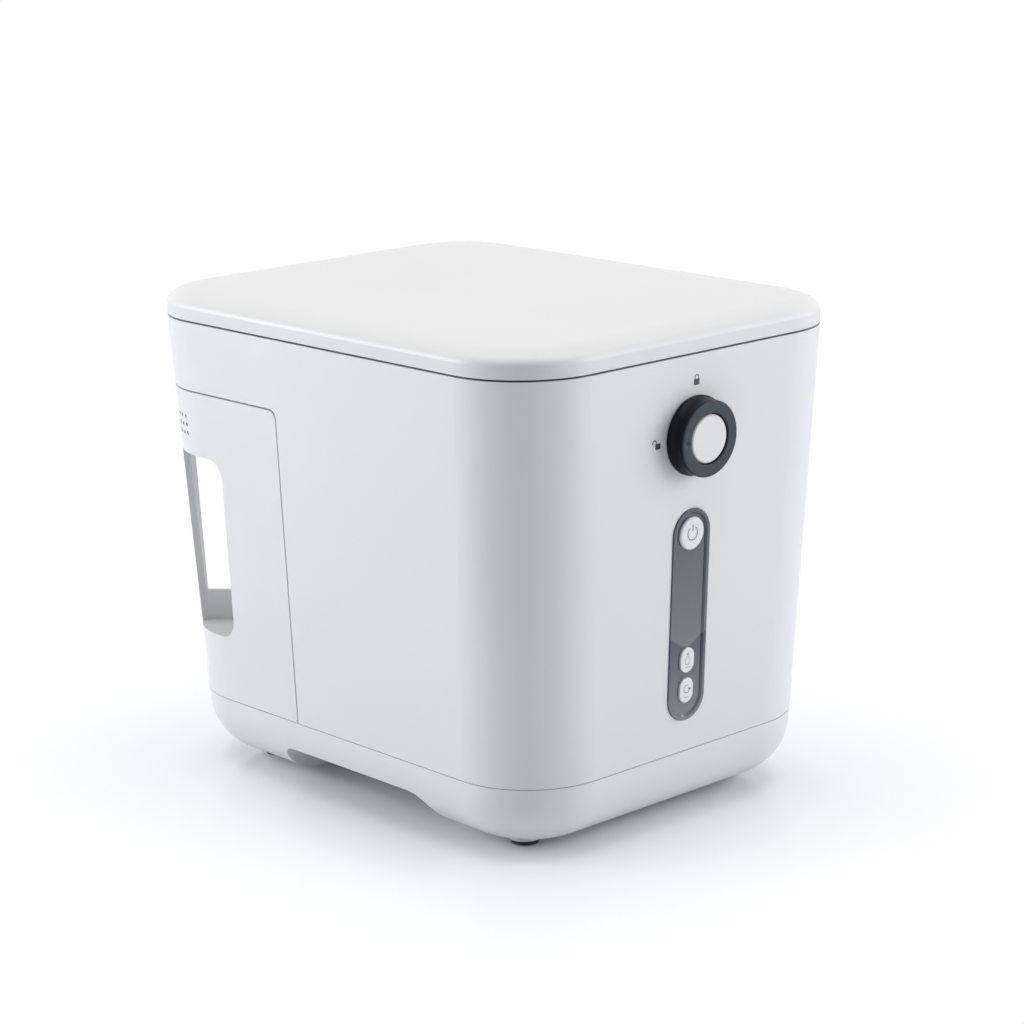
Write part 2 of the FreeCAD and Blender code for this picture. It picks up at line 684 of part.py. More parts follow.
def thermal_fuse():
    return rod(4, POT_FLOOR - 6, POT_FLOOR, 0, BUCKET_Y + 84)


# ---- gear train --------------------------------------------------------------------------------
def gear(teeth, module, bore, z0, z1, y, phase=0.0):
    """Involute spur gear, 20 degree pressure angle, with a little backlash."""
    pitch_r = module * teeth / 2
    base_r = pitch_r * math.cos(math.radians(20))
    root_r = pitch_r - 1.25 * module
    tip_r = pitch_r + module
    involute = math.tan(math.radians(20)) - math.radians(20)
    half_tooth = math.pi / (2 * teeth) - 0.05 * module / pitch_r
    flank = []
    for step in range(5):
        r = max(base_r, root_r) + (tip_r - max(base_r, root_r)) * step / 4
        roll = math.sqrt(max((r / base_r) ** 2 - 1, 0))
        flank.append((r, half_tooth + involute - (roll - math.atan(roll))))
    flank.insert(0, (root_r, flank[0][1]))
    points = []
    for tooth in range(teeth):
        middle = math.radians(phase) + 2 * math.pi * tooth / teeth
        points += [(r * math.cos(middle - half), r * math.sin(middle - half)) for r, half in flank]
        points += [(r * math.cos(middle + half), r * math.sin(middle + half)) for r, half in reversed(flank)]
    wheel = prism(points, z0, z1).cut(rod(bore, z0 - 1, z1 + 1))
    wheel.translate(Vector(0, y, 0))
    return wheel


def output_gear():
    return gear(OUTPUT_TEETH, OUTPUT_MODULE, SHAFT_R, 56, 66, BUCKET_Y)


def intermediate_gear():
    bore = AXLE_R + RUNNING
    small = gear(SMALL_TEETH, OUTPUT_MODULE, bore, 55.5, 68, COUNTER_Y)
    large = gear(LARGE_TEETH, INPUT_MODULE, bore, 68, 75, COUNTER_Y)
    return join(small, large)


def motor_pinion():
    return gear(PINION_TEETH, INPUT_MODULE, MOTOR_SHAFT_R, 67.5, 76.5, MOTOR_Y, 180 / PINION_TEETH)


def motor_rotor():
    return join(rod(MOTOR_SHAFT_R, 66, 152, 0, MOTOR_Y), rod(17, 96, 138, 0, MOTOR_Y))


def motor_can():
    can = ring(MOTOR_R, MOTOR_R - 3, GEARBOX_LID, MOTOR_TOP, 0, MOTOR_Y)
    plate = ring(MOTOR_R, MOTOR_SHAFT_R + RUNNING, GEARBOX_LID, GEARBOX_LID + 3, 0, MOTOR_Y)
    cap = ring(MOTOR_R, MOTOR_SHAFT_R + RUNNING, MOTOR_TOP - 3, MOTOR_TOP, 0, MOTOR_Y)
    stator = ring(MOTOR_R - 3, 17.5, 98, 136, 0, MOTOR_Y)
    return join(can, plate, cap, stator)


def gearbox_plan(inset, z0, z1):
    front = BUCKET_Y - 62
    rear = MOTOR_Y + 11.5
    block = rounded_block(60 - inset, (rear - front) / 2 - inset, 10 - inset, z0, z1)
    block.translate(Vector(0, (rear + front) / 2, 0))
    return block


def gearbox_posts():
    return [(x, y) for x in (-53.0, 53.0) for y in (BUCKET_Y - 55, MOTOR_Y + 4.5)]


def gearbox_housing():
    housing = gearbox_plan(0, FLOOR_TOP, GEARBOX_TOP).cut(gearbox_plan(2.5, FLOOR_TOP + 2.5, GEARBOX_TOP + 1))
    for x, y in gearbox_posts():
        housing = join(housing, rod(5, FLOOR_TOP, GEARBOX_TOP, x, y).common(gearbox_plan(0.5, 0, BIG)))
        housing = housing.cut(rod(SCREW_R + 0.05, 60, GEARBOX_TOP + 1, x, y))
    housing = housing.cut(rod(9, FLOOR_TOP + 0.8, GEARBOX_TOP, 0, BUCKET_Y))
    return housing.cut(rod(AXLE_R, FLOOR_TOP + 0.8, GEARBOX_TOP, 0, COUNTER_Y))


def gearbox_cover():
    cover = gearbox_plan(0, GEARBOX_TOP, GEARBOX_LID)
    cover = cover.cut(rod(9, 0, BIG, 0, BUCKET_Y)).cut(rod(AXLE_R, 0, GEARBOX_LID - 0.8, 0, COUNTER_Y))
    cover = cover.cut(rod(10, 0, BIG, 0, MOTOR_Y))
    for x, y in gearbox_posts():
        cover = cover.cut(rod(SCREW_R + 0.1, 0, BIG, x, y))
    return cover


def gearbox_screws():
    return group(join(rod(SCREW_R, 61, GEARBOX_LID, x, y), rod(3.4, GEARBOX_LID, GEARBOX_LID + 2.2, x, y))
                 for x, y in gearbox_posts())


def shaft_bushes():
    lower = ring(9, SHAFT_R + RUNNING, FLOOR_TOP + 0.8, 55.4, 0, BUCKET_Y)
    upper = ring(9, SHAFT_R + RUNNING, 77, 86, 0, BUCKET_Y)
    return group([lower, upper])


def countershaft_axle():
    return rod(AXLE_R, FLOOR_TOP + 0.8, GEARBOX_LID - 0.8, 0, COUNTER_Y)


def hexagon(across_flats, z0, z1, y):
    corner = across_flats / math.sqrt(3)
    angles = [math.radians(60 * k) for k in range(6)]
    points = [(corner * math.cos(angle), corner * math.sin(angle)) for angle in angles]
    solid = prism(points, z0, z1)
    solid.translate(Vector(0, y, 0))
    return solid


def drive_shaft():
    return join(rod(SHAFT_R, FLOOR_TOP + 1.4, 100, 0, BUCKET_Y), hexagon(10.0, 100, 111, BUCKET_Y))


def stirrer_shaft():
    """Stub through the bucket's floor, with the hexagon socket that drops over the drive shaft."""
    socket = rod(13, 103, 112, 0, BUCKET_Y)
    stub = rod(STIRRER_R, 112, 140, 0, BUCKET_Y)
    return join(socket, stub).cut(hexagon(10.6, 102, 111.6, BUCKET_Y))


def stirrer_blade():
    """Three swept floor arms and a two-armed upper bar, on one hub."""
    hub = ring(13, STIRRER_R, 119.5, 141, 0, 0)
    pieces = [hub, rod(13, 141, 148)]
    for turn in (0, 120, 240):
        arm = prism([(8, -7), (74, 3), (76, 9), (8, 7)], 119.5, 126)
        arm.rotate(Vector(0, 0, 0), Vector(0, 0, 1), turn)
        pieces.append(arm)
    for turn in (60, 240):
        arm = prism([(6, -5), (60, -3), (62, 3), (6, 5)], 139.5, 145)
        arm.rotate(Vector(0, 0, 0), Vector(0, 0, 1), turn)
        pieces.append(arm)
    blade = join(*pieces).cut(rod(STIRRER_R, 0, 141))
    blade.translate(Vector(0, BUCKET_Y, 0))
    return blade


# ---- rear compartment --------------------------------------------------------------------------
def rear_bulkhead():
    """Wings behind the well, and a U-shaped box round the motor with a shelf for the filter."""
    low = FLOOR_TOP
    high = BULKHEAD_TOP
    envelope = tapered(low, high, SKIN + INNER_FIT)
    wings = envelope.common(box(-BIG, BIG, BULKHEAD_FRONT, BULKHEAD_FRONT + SHEET, low, high))
    wings = wings.cut(box(-BULKHEAD_X + 1, BULKHEAD_X - 1, 0, BIG, 0, BIG))
    wall = box(-BULKHEAD_X, BULKHEAD_X, BULKHEAD_FRONT, BULKHEAD_Y, low, high)
    wall = wall.cut(box(SHEET - BULKHEAD_X, BULKHEAD_X - SHEET, 0, BULKHEAD_Y - SHEET, 0, BIG))
    shelf = box(-BULKHEAD_X, BULKHEAD_X, BULKHEAD_Y - 1, 156, 89, 91.5)
    outlet = box(-20, 20, BULKHEAD_Y - 10, BULKHEAD_Y + 1, 176, 198)
    bulkhead = join(wings, wall, shelf).cut(outlet).cut(gearbox_plan(-0.4, 0, GEARBOX_LID + 0.3))
    for x, y in gearbox_posts():
        bulkhead = bulkhead.cut(rod(3.8, GEARBOX_LID, GEARBOX_LID + 2.6, x, y))
    return bulkhead


def blower_housing():
    """Scroll case, axis along Y, with a mouth at the front and an outlet through the bulkhead."""
    case = rod_y(FAN_R, FAN_FRONT, FAN_REAR, 0, FAN_Z)
    case = case.cut(rod_y(FAN_R - 2, FAN_FRONT + 2, FAN_REAR - 2, 0, FAN_Z))
    case = case.cut(rod_y(16, 0, FAN_FRONT + 3, 0, FAN_Z))
    duct = box(-22, 22, FAN_REAR - 1, BULKHEAD_Y - SHEET, 174, 200)
    duct = duct.cut(box(-20, 20, 0, BIG, 176, 198))
    return join(case, duct).cut(box(-20, 20, FAN_REAR - 3, BIG, 176, 184))


def fan_rotor():
    hub = join(rod_y(30, 88, 90, 0, FAN_Z), rod_y(5, 76, 88, 0, FAN_Z))
    hub = hub.cut(rod_y(1.5, 70, 95, 0, FAN_Z))
    rim = rod_y(30.5, 65, 67, 0, FAN_Z).cut(rod_y(22, 60, 70, 0, FAN_Z))
    pieces = [hub, rim]
    for index in range(24):
        vane = box(22.5, 30, 66.5, 88.5, FAN_Z - 0.6, FAN_Z + 0.6)
        vane.rotate(Vector(26, 0, FAN_Z), Vector(0, 1, 0), 28)
        vane.rotate(Vector(0, 0, FAN_Z), Vector(0, 1, 0), 15 * index)
        pieces.append(vane)
    return join(*pieces)


def fan_motor():
    return join(rod_y(11, 91, FAN_REAR - 2, 0, FAN_Z), rod_y(1.5 - RUNNING, 77, 91, 0, FAN_Z))


def air_duct():
    """Square pipe that draws the well's air down to the blower's mouth."""
    duct = box(-22, 22, 49.4, FAN_FRONT, 176, DECK_Z)
    duct = duct.cut(box(-20, 20, 51, FAN_FRONT - 1.6, 178, BIG))
    return duct.cut(rod_y(16, 55, 70, 0, FAN_Z))


def filter_cassette():
    case = box(-58, 58, 112, 156, 91.5, 204).cut(box(-56, 56, 114, 154, 93.5, 202))
    case = case.cut(box(-20, 20, 100, 120, 176, 198))
    slots = [box(-50 + 12.5 * k, -42.5 + 12.5 * k, 118, 150, 200, 210) for k in range(8)]
    return case.cut(group(slots))


def charcoal_filters():
    return group([box(-55, 55, 116, 152, 94, 131), box(-55, 55, 116, 152, 133, 170)])


def cassette_gasket():
    return box(-24, 24, BULKHEAD_Y, 112, 172, 202).cut(box(-20, 20, 100, 120, 176, 198))


def main_board():
    return box(BOARD_X - 1.6, BOARD_X, 46, 102, 96, 228)


def board_parts():
    """Relays, a transformer and capacitors on the main board."""
    relays = [box(BOARD_X, BOARD_X + 12, 50, 66, z, z + 14) for z in (100, 118)]
    capacitors = [rod_x(5, BOARD_X, BOARD_X + 18, 76, z) for z in (104, 118)]
    transformer = box(BOARD_X, BOARD_X + 20, 66, 96, 134, 158)
    return group(relays + capacitors + [transformer])


def power_inlet():
    """Three-pin appliance inlet, open to the rear."""
    block = box(INLET_X - 14, INLET_X + 14, 132, 158, INLET_Z - 10.5, INLET_Z + 10.5)
    block = block.cut(box(INLET_X - 12.2, INLET_X + 12.2, 143, 160, INLET_Z - 8.2, INLET_Z + 8.2))
    for dx, dz in ((-7, -1.5), (7, -1.5), (0, 2.5)):
        x, z = INLET_X + dx, INLET_Z + dz
        block = join(block, box(x - 1, x + 1, 142, 155, z - 2, z + 2))
    return block


def inlet_bracket():
    foot = box(INLET_X - 14, INLET_X + 14, 122, 150, FLOOR_TOP, FLOOR_TOP + 2)
    web = box(INLET_X - 14, INLET_X + 14, 128, 132, FLOOR_TOP, INLET_Z + 10)
    return join(foot, web, box(INLET_X - 14, INLET_X + 14, 130, 150, INLET_Z - 12.5, INLET_Z - 10.5))


# ---- rear cover --------------------------------------------------------------------------------
def vent_holes():
    """Three rows of round holes that follow the rear wall and both corners."""
    holes = []
    for row in range(VENT_ROWS):
        z = VENT_TOP - row * VENT_PITCH
        flat = half_width(z) - CORNER
        for column in range(VENT_COLUMNS):
            run = (column + 0.5) * VENT_PITCH
            angle = max(0.0, run - flat) / CORNER
            x = min(run, flat) + (CORNER - 5) * math.sin(angle)
            y = half_depth(z) - CORNER + (CORNER - 5) * math.cos(angle)
            for side in (-1, 1):
                away = Vector(side * math.sin(angle), math.cos(angle), 0)
                holes.append(Part.makeCylinder(VENT_R, 10, Vector(side * x, y, z), away))
    return holes


def grip_pocket():
    """Moulded finger pocket of the left grip: its walls, still solid inside."""
    low = GRIP_LOW - POCKET_WALL
    high = GRIP_HIGH + POCKET_WALL
    block = box(-BIG, -POCKET_X, GRIP_FRONT - POCKET_WALL, BIG, low, high)
    return block.common(tapered(low - 1, high + 1, 0.5))


def grip_void():
    """Air in the left pocket, less the corner post, plus both mouths through the wall."""
    room = box(-BIG, -POCKET_X - POCKET_WALL, GRIP_FRONT, BIG, GRIP_LOW, GRIP_HIGH)
    room = room.common(tapered(GRIP_LOW - 1, GRIP_HIGH + 1, SKIN))
    post = box(-BIG, -REAR_SLOT[1], GRIP_POST_Y, BIG, 0, BIG)
    post = post.cut(tapered(GRIP_LOW - 5, GRIP_HIGH + 5, GRIP_POST))
    side_mouth = side_slot((GRIP_FRONT, GRIP_POST_Y + 40), GRIP_LOW, GRIP_HIGH, GRIP_ROUND, -BIG / 2, -99)
    side_mouth = side_mouth.cut(box(-BIG, 0, GRIP_POST_Y, BIG, 0, BIG))
    slot_width = (-REAR_SLOT[1], -REAR_SLOT[0] - POCKET_WALL)
    rear_mouth = rounded_slot(slot_width, REAR_SLOT_LOW, REAR_SLOT_HIGH, 11, 120, 190)
    back = GRIP_WEB + GRIP_WEB_WALL * math.sqrt(2)
    corners = [(-BIG, GRIP_WEB + BIG), (BIG, GRIP_WEB - BIG), (BIG, back - BIG), (-BIG, back + BIG)]
    return join(room.cut(post), side_mouth, rear_mouth).cut(prism(corners, 0, GRIP_WEB_TOP))


def rear_cover():
    low = LOW_SEAM + FINE_GAP / 2
    cover = band(low, COVER_TOP - COVER_GAP, 0, SKIN).common(rear_cut(COVER_GAP)).cut(vent_holes())
    cover = join(cover, grip_pocket(), mirrored(grip_pocket()))
    cover = cover.cut(grip_void()).cut(mirrored(grip_void()))
    window = box(INLET_X - 14.6, INLET_X + 14.6, 150, 180, INLET_Z - 11.1, INLET_Z + 11.1)
    return cover.cut(window)


# ---- export ------------------------------------------------------------------------------------
KNOB_REACH = -front_y(KNOB_Z) + (KNOB_OUT + DRAFT * (KNOB_R - 0.7)) * math.cos(math.atan(DRAFT))
Y_SHIFT = (KNOB_REACH - HINGE_Y - BARREL_R) / 2

NODES = {
    "base_pan": base_pan, "rubber_feet": rubber_feet, "base_screws": base_screws, "floor_frame": floor_frame,
    "body_shell": body_shell, "deck": deck, "deck_screws": deck_screws, "hinge_pins": hinge_pins,
    "lid_cover": lid_cover, "lid_liner": lid_liner, "lid_screws": lid_screws, "lid_gasket": lid_gasket,
    "lid_keeper": lid_keeper, "knob_ring": knob_ring, "knob_cap": knob_cap, "knob_shaft": knob_shaft,
    "latch_arm": latch_arm, "knob_bush": knob_bush, "detent_spring": detent_spring,
    "panel_bezel": panel_bezel, "power_button": power_button, "control_board": control_board,
    "tact_switches": tact_switches, "bucket": bucket, "bail_handle": bail_handle, "bail_grip": bail_grip,
    "bucket_bush": bucket_bush, "fixed_blades": fixed_blades, "heater_pot": heater_pot,
    "heater_ring": heater_ring, "heat_shield": heat_shield, "thermal_fuse": thermal_fuse,
    "output_gear": output_gear, "intermediate_gear": intermediate_gear, "motor_pinion": motor_pinion,
    "motor_rotor": motor_rotor, "motor_can": motor_can, "gearbox_housing": gearbox_housing,
    "gearbox_cover": gearbox_cover, "gearbox_screws": gearbox_screws, "shaft_bushes": shaft_bushes,
    "countershaft_axle": countershaft_axle, "drive_shaft": drive_shaft, "stirrer_shaft": stirrer_shaft,
    "stirrer_blade": stirrer_blade, "rear_bulkhead": rear_bulkhead, "blower_housing": blower_housing,
    "fan_rotor": fan_rotor, "fan_motor": fan_motor, "air_duct": air_duct, "filter_cassette": filter_cassette,
    "charcoal_filters": charcoal_filters, "cassette_gasket": cassette_gasket, "main_board": main_board,
    "board_parts": board_parts, "power_inlet": power_inlet, "inlet_bracket": inlet_bracket,
    "rear_cover": rear_cover,
}


def save(node, shape):
    shape.translate(Vector(0, Y_SHIFT, 0))
    shape.exportStep("parts/%s.step" % node)


def main():
    os.makedirs("parts", exist_ok=True)
    save("mode_button", pill_button(MODE_Z))
    save("clean_button", pill_button(CLEAN_Z))
    for node, build in NODES.items():
        save(node, build())
    print("nodes", len(NODES) + 2, "y shift", round(Y_SHIFT, 3))


main()
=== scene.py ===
"""Looks of the countertop kitchen-waste compactor: camera, studio, materials, printed icons, wiring
and small trim. Metres throughout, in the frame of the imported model."""
import json
import math

import bmesh
import bpy
from mathutils import Matrix, Vector


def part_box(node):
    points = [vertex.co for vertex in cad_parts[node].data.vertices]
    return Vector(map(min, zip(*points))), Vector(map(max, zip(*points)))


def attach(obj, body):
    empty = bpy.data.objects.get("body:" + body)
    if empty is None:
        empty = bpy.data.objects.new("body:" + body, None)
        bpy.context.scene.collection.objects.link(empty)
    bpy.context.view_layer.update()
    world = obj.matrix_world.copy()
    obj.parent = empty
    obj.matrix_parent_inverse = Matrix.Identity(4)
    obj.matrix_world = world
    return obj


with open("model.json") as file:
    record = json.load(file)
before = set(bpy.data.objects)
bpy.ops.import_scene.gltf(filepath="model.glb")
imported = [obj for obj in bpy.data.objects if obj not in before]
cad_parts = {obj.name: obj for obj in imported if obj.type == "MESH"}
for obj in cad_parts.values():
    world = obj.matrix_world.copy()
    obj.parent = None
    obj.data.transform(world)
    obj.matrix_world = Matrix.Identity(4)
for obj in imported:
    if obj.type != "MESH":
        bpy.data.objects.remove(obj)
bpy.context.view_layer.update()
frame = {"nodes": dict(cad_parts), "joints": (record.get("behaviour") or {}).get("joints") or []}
NODES = frame["nodes"]
JOINTS = {joint["name"]: joint for joint in frame["joints"]}
MM = 0.001

# ---- places read from the frame ------------------------------------------------------------------
LINER_LOW, LINER_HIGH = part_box("lid_liner")
SHELL_Y = (LINER_LOW.y + LINER_HIGH.y) / 2           # middle of the shell, front to rear
BASE_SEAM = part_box("body_shell")[0].z - 0.2 * MM     # middle of the fine seam above the base
KNOB = JOINTS["knob_turn"]
OUTWARD = -Vector(KNOB["axis"]).normalized()         # the front face's normal
FACE_AT_KNOB = Vector(KNOB["pos_m"])
KNOB_FRONT_EDGE = 11.4                               # mm from the face to the ring's front edge


# ---- camera --------------------------------------------------------------------------------------
CAMERA_AZIMUTH = -42.933                             # 0 looks along +Y
CAMERA_ELEVATION = 14.342
CAMERA_ROLL = -0.894
CAMERA_LENS = 102.83
CAMERA_PLACE = Vector((-1.15605, -1.26046, 0.55075)) # from the shell's middle at the base seam


def add_camera():
    azimuth, elevation, roll = (math.radians(a) for a in (CAMERA_AZIMUTH, CAMERA_ELEVATION, CAMERA_ROLL))
    back = Vector((math.sin(azimuth) * math.cos(elevation), -math.cos(azimuth) * math.cos(elevation),
                   math.sin(elevation)))
    right = Vector((math.cos(azimuth), math.sin(azimuth), 0))
    up = back.cross(right)
    across = right * math.cos(roll) + up * math.sin(roll)
    over = up * math.cos(roll) - right * math.sin(roll)
    data = bpy.data.cameras.new("camera")
    data.lens = CAMERA_LENS
    data.sensor_width = 36
    camera = bpy.data.objects.new("camera", data)
    bpy.context.scene.collection.objects.link(camera)
    turn = Matrix((across, over, back)).transposed().to_4x4()
    seat = CAMERA_PLACE + Vector((0, SHELL_Y, BASE_SEAM))
    camera.matrix_world = Matrix.Translation(seat) @ turn
    bpy.context.scene.camera = camera


# ---- materials -----------------------------------------------------------------------------------
class Surface:
    """A Principled material with helpers for procedural detail in object coordinates."""

    def __init__(self, name, colour, roughness, metallic=0.0, **fixed):
        self.material = bpy.data.materials.new(name)
        self.material.use_nodes = True
        self.tree = self.material.node_tree
        self.shader = self.tree.nodes["Principled BSDF"]
        self.shader.inputs["Base Color"].default_value = (*colour, 1)
        self.shader.inputs["Roughness"].default_value = roughness
        self.shader.inputs["Metallic"].default_value = metallic
        for socket, value in fixed.items():
            self.shader.inputs[socket.replace("_", " ")].default_value = value
        self.colour = colour
        self.roughness = roughness
        self.where = self.tree.nodes.new("ShaderNodeTexCoord").outputs["Object"]

    def node(self, kind, **settings):
        made = self.tree.nodes.new(kind)
        for key, value in settings.items():
            setattr(made, key, value)
        return made

    def link(self, source, target):
        self.tree.links.new(source, target)

    def noise(self, scale, detail=3.0, stretch=(1, 1, 1)):
        mapping = self.node("ShaderNodeMapping")
        mapping.inputs["Scale"].default_value = stretch
        self.link(self.where, mapping.inputs["Vector"])
        noise = self.node("ShaderNodeTexNoise")
        noise.inputs["Scale"].default_value = scale
        noise.inputs["Detail"].default_value = detail
        self.link(mapping.outputs["Vector"], noise.inputs["Vector"])
        return noise.outputs["Fac"]

    def span(self, source, low, high, from_low=0.3, from_high=0.7):
        ramp = self.node("ShaderNodeMapRange")
        ends = {"From Min": from_low, "From Max": from_high, "To Min": low, "To Max": high}
        for key, value in ends.items():
            ramp.inputs[key].default_value = value
        self.link(source, ramp.inputs["Value"])
        return ramp.outputs["Result"]

    def mix(self, factor, first, second):
        """Colour mix; first may be a colour or a socket."""
        mix = self.node("ShaderNodeMix", data_type="RGBA")
        self.link(factor, mix.inputs[0])
        for index, value in ((6, first), (7, second)):
            if isinstance(value, tuple):
                mix.inputs[index].default_value = (*value, 1)
            else:
                self.link(value, mix.inputs[index])
        return mix.outputs[2]

    def vary_colour(self, amount, scale=7.0):
        """Slow drift between a lighter and a darker tone."""
        dark = tuple(max(0.0, c * (1 - amount)) for c in self.colour)
        light = tuple(min(1.0, c * (1 + amount)) for c in self.colour)
        mixed = self.mix(self.span(self.noise(scale), 0, 1), dark, light)
        self.link(mixed, self.shader.inputs["Base Color"])
        return mixed

    def vary_roughness(self, amount, scale=9.0, stretch=(1, 1, 1)):
        low, high = max(0.02, self.roughness - amount), min(1.0, self.roughness + amount)
        self.link(self.span(self.noise(scale, 5.0, stretch), low, high), self.shader.inputs["Roughness"])

    def bump(self, *layers):
        """Each layer is (height socket, strength, depth in metres)."""
        normal = None
        for height, strength, depth in layers:
            bump = self.node("ShaderNodeBump")
            bump.inputs["Strength"].default_value = strength
            bump.inputs["Distance"].default_value = depth
            self.link(height, bump.inputs["Height"])
            if normal is not None:
                self.link(normal, bump.inputs["Normal"])
            normal = bump.outputs["Normal"]
        self.link(normal, self.shader.inputs["Normal"])


def moulded(name, colour, roughness, grain=0.25, scale=2600.0, drift=0.012, **fixed):
    """Injection-moulded plastic: fine spark-eroded grain, faint flow and handling marks."""
    surface = Surface(name, colour, roughness, **fixed)
    surface.vary_colour(drift)
    surface.vary_roughness(0.05, 14.0)
    surface.bump((surface.noise(scale, 2.0), grain, 0.00006), (surface.noise(26.0), 0.05, 0.0004))
    return surface.material


def brushed(name, colour, roughness, stretch=(1, 1, 12), **fixed):
    """Metal with drawn or brushed lines across one axis."""
    surface = Surface(name, colour, roughness, metallic=1.0, **fixed)
    surface.vary_colour(0.06, 30.0)
    lines = surface.noise(420.0, 4.0, stretch)
    surface.link(surface.span(lines, roughness - 0.08, roughness + 0.12), surface.shader.inputs["Roughness"])
    surface.bump((lines, 0.12, 0.00005))
    return surface.material


def cast(name, colour, roughness, metallic=1.0):
    """Sand-cast or sintered metal, or a granular block."""
    surface = Surface(name, colour, roughness, metallic=metallic)
    surface.vary_colour(0.10, 60.0)
    surface.vary_roughness(0.08, 120.0)
    surface.bump((surface.noise(900.0, 4.0), 0.45, 0.00018))
    return surface.material


def rubber(name, colour, roughness=0.72):
    surface = Surface(name, colour, roughness)
    surface.vary_colour(0.15, 40.0)
    surface.bump((surface.noise(1800.0, 3.0), 0.3, 0.00008))
    return surface.material


def non_stick(name):
    """Speckled dark coating with fine scuffs from the blades."""
    surface = Surface(name, (0.040, 0.042, 0.046), 0.36)
    cells = surface.node("ShaderNodeTexVoronoi")
    cells.inputs["Scale"].default_value = 380.0
    surface.link(surface.where, cells.inputs["Vector"])
    speck = surface.span(cells.outputs["Distance"], 1, 0, 0.10, 0.16)
    scuff = surface.span(surface.noise(60.0, 8.0, (1, 1, 9)), 0, 0.5, 0.62, 0.74)
    base = surface.mix(speck, (0.040, 0.042, 0.046), (0.20, 0.21, 0.22))
    surface.link(surface.mix(scuff, base, (0.13, 0.13, 0.135)), surface.shader.inputs["Base Color"])
    surface.vary_roughness(0.08, 30.0)
    surface.bump((surface.noise(1200.0, 3.0), 0.2, 0.0001))
    return surface.material


def circuit(name):
    """Green board with lighter copper tracks under the solder resist."""
    surface = Surface(name, (0.015, 0.12, 0.05), 0.38)
    tracks = surface.node("ShaderNodeTexBrick")
    tracks.inputs["Scale"].default_value = 95.0
    tracks.inputs["Mortar Size"].default_value = 0.035
    for socket, colour in (("Color1", (0.012, 0.11, 0.045)), ("Color2", (0.018, 0.15, 0.06)),
                           ("Mortar", (0.05, 0.26, 0.10))):
        tracks.inputs[socket].default_value = (*colour, 1)
    turn = surface.node("ShaderNodeMapping")
    turn.inputs["Rotation"].default_value = (math.radians(90), 0, math.radians(90))
    surface.link(surface.where, turn.inputs["Vector"])
    surface.link(turn.outputs["Vector"], tracks.inputs["Vector"])
    surface.link(tracks.outputs["Color"], surface.shader.inputs["Base Color"])
    surface.bump((surface.noise(700.0), 0.2, 0.00008))
    return surface.material


def panel_gloss(name):
    """Smoked gloss panel: a lighter touch zone that ends in a soft V above the two lower buttons, with
    painted reflection: gradients up and down both zones stand in for the softboxes mirrored in the gloss.
    """
    surface = Surface(name, (0.050, 0.060, 0.078), 0.12, Coat_Weight=0.35, Coat_Roughness=0.05)
    split = surface.node("ShaderNodeSeparateXYZ")
    surface.link(surface.where, split.inputs[0])
    wing = surface.node("ShaderNodeMath", operation="ABSOLUTE")
    surface.link(split.outputs["X"], wing.inputs[0])
    lift = surface.node("ShaderNodeMath", operation="MULTIPLY_ADD")
    lift.inputs[1].default_value = -0.62
    surface.link(wing.outputs[0], lift.inputs[0])
    surface.link(split.outputs["Z"], lift.inputs[2])
    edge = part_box("mode_button")[1].z
    zone = surface.span(lift.outputs[0], 0, 1, edge - 3.0 * MM, edge - 1.5 * MM)
    # painted reflection: the upper zone is lighter towards the V and darker higher up, the lower zone
    # lighter towards its bottom
    fade = surface.span(split.outputs["Z"], 1, 0, edge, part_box("power_button")[0].z + 10 * MM)
    painted_reflection_upper = surface.mix(fade, (0.034, 0.042, 0.058), (0.105, 0.115, 0.132))
    painted_reflection_lower_ramp = surface.span(split.outputs["Z"], 1, 0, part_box("panel_bezel")[0].z, edge)
    lower = surface.mix(painted_reflection_lower_ramp, (0.028, 0.036, 0.062), (0.15, 0.155, 0.155))
    surface.link(surface.mix(zone, lower, painted_reflection_upper), surface.shader.inputs["Base Color"])
    surface.vary_roughness(0.03, 40.0)
    surface.bump((surface.noise(18.0), 0.04, 0.0003))
    return surface.material


def knob_slate(name):
    """Satin dark slate ring with painted light and shade split at the front edge: the front face is painted
    lighter where the front softbox falls, the side painted near-black as shade.
    """
    surface = Surface(name, (0.030, 0.036, 0.046), 0.38, Specular_IOR_Level=0.12)
    reach = surface.node("ShaderNodeVectorMath", operation="DOT_PRODUCT")
    surface.link(surface.where, reach.inputs[0])
    reach.inputs[1].default_value = OUTWARD
    edge = FACE_AT_KNOB.dot(OUTWARD) + KNOB_FRONT_EDGE * MM
    # painted light and shade: lighter slate on the lit front face, near-black painted shade on the side
    front = surface.span(reach.outputs["Value"], 0, 1, edge - 0.3 * MM, edge + 0.3 * MM)
    tone = surface.mix(front, (0.004, 0.005, 0.008), (0.052, 0.062, 0.074))
    surface.link(tone, surface.shader.inputs["Base Color"])
    surface.vary_roughness(0.04, 60.0)
    surface.bump((surface.noise(2400.0, 2.0), 0.15, 0.00005))
    return surface.material


